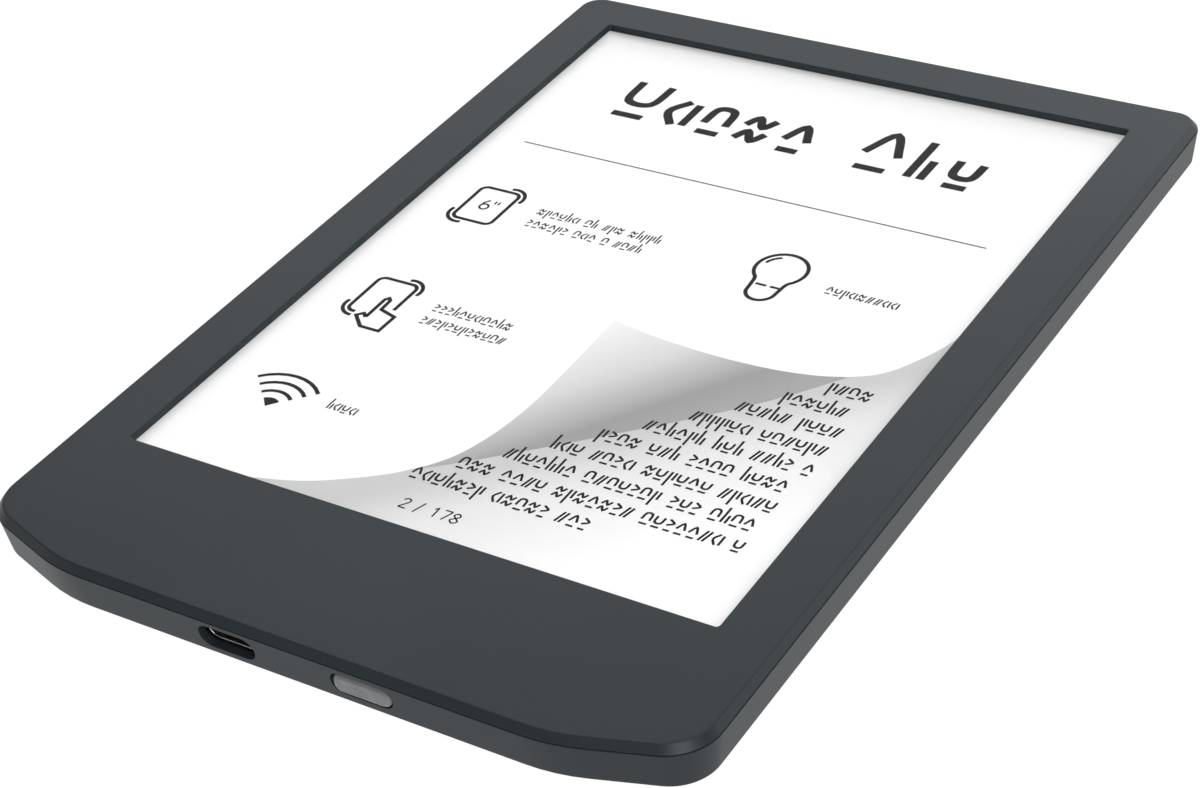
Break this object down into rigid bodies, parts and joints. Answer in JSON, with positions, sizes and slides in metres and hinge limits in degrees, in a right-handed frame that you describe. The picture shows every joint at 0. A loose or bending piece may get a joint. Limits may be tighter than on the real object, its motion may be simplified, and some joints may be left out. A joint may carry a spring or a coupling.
{
  "type": "e-reader",
  "caption": "Slim e-paper reader in a dark grey plastic housing, with a recessed matt page screen, wide lower bezel, charging port and sprung power button in the lower edge.",
  "frame": {"origin": "middle of the flat back face, which the reader lies on", "axes": "+Y towards the top of the page, +Z out of the screen, +X to the reader's right"},
  "size_m": [0.108, 0.156, 0.0076],
  "materials": {
    "housing_plastic": "fine satin texture, dark blue-grey",
    "button_plastic": "satin translucent grey",
    "display_foam": "matt black closed-cell foam",
    "touch_film": "clear anti-glare film, fine matt",
    "light_guide_plastic": "clear polished sheet",
    "display_paper": "matt paper white ink layer on a glass backplane",
    "flex_film": "amber flexible circuit",
    "led_resin": "pale yellow resin",
    "frame_alloy": "cast light alloy, satin",
    "screw_steel": "plated steel",
    "board_laminate": "green solder mask",
    "chip_epoxy": "matt black epoxy",
    "shield_steel": "tinned steel can",
    "antenna_ceramic": "white ceramic",
    "connector_plastic": "natural nylon",
    "port_steel": "nickel plated steel",
    "port_plastic": "black moulded plastic",
    "dome_steel": "spring steel",
    "battery_pouch": "satin aluminium laminate",
    "wire_sleeve": "soft insulated wires",
    "adhesive_tape": "white double-sided tape"
  },
  "bodies": {
    "housing": {"front_bezel": "housing_plastic", "rear_cover": "housing_plastic", "display_gasket": "display_foam", "touch_panel": "touch_film", "light_guide": "light_guide_plastic", "display_panel": "display_paper", "display_driver": "chip_epoxy", "light_strip": "flex_film", "touch_flex": "flex_film", "display_flex": "flex_film", "mid_frame": "frame_alloy", "main_board": "board_laminate", "processor_chip": "chip_epoxy", "memory_chip": "chip_epoxy", "storage_chip": "chip_epoxy", "power_chip": "chip_epoxy", "display_power_chip": "chip_epoxy", "power_inductor_1": "chip_epoxy", "power_inductor_2": "chip_epoxy", "radio_module": "shield_steel", "radio_antenna": "antenna_ceramic", "display_connector": "connector_plastic", "touch_connector": "connector_plastic", "light_connector": "connector_plastic", "status_led": "led_resin", "port_sleeve": "port_steel", "port_tongue": "port_plastic", "switch_body": "port_plastic", "switch_dome": "dome_steel", "battery_cell": "battery_pouch", "battery_protection_board": "board_laminate", "battery_cable": "wire_sleeve", "battery_connector": "connector_plastic", "battery_adhesive": "adhesive_tape", "battery_header": "connector_plastic", "front_light_led_1": "led_resin", "front_light_led_2": "led_resin", "front_light_led_3": "led_resin", "front_light_led_4": "led_resin", "front_light_led_5": "led_resin", "chassis_screw_1": "screw_steel", "chassis_screw_2": "screw_steel", "chassis_screw_3": "screw_steel", "chassis_screw_4": "screw_steel", "chassis_screw_5": "screw_steel", "chassis_screw_6": "screw_steel", "board_screw_1": "screw_steel", "board_screw_2": "screw_steel", "board_screw_3": "screw_steel", "board_screw_4": "screw_steel"},
    "power_button": {"power_button": "button_plastic"},
    "switch_plunger": {"switch_plunger": "port_plastic"}
  },
  "joints": [
    {"name": "power_button_press", "type": "slide", "parent": "housing", "child": "power_button", "axis": [0, 1, 0], "range_m": [0, 0.0003], "stiffness_N_per_m": 2000},
    {"name": "switch_plunger_press", "type": "slide", "parent": "housing", "child": "switch_plunger", "axis": [0, 1, 0], "range_m": [0, 0.0003]}
  ],
  "couplings": [
    {"joint": "switch_plunger_press", "follows": "power_button_press", "ratio": 1}
  ]
}
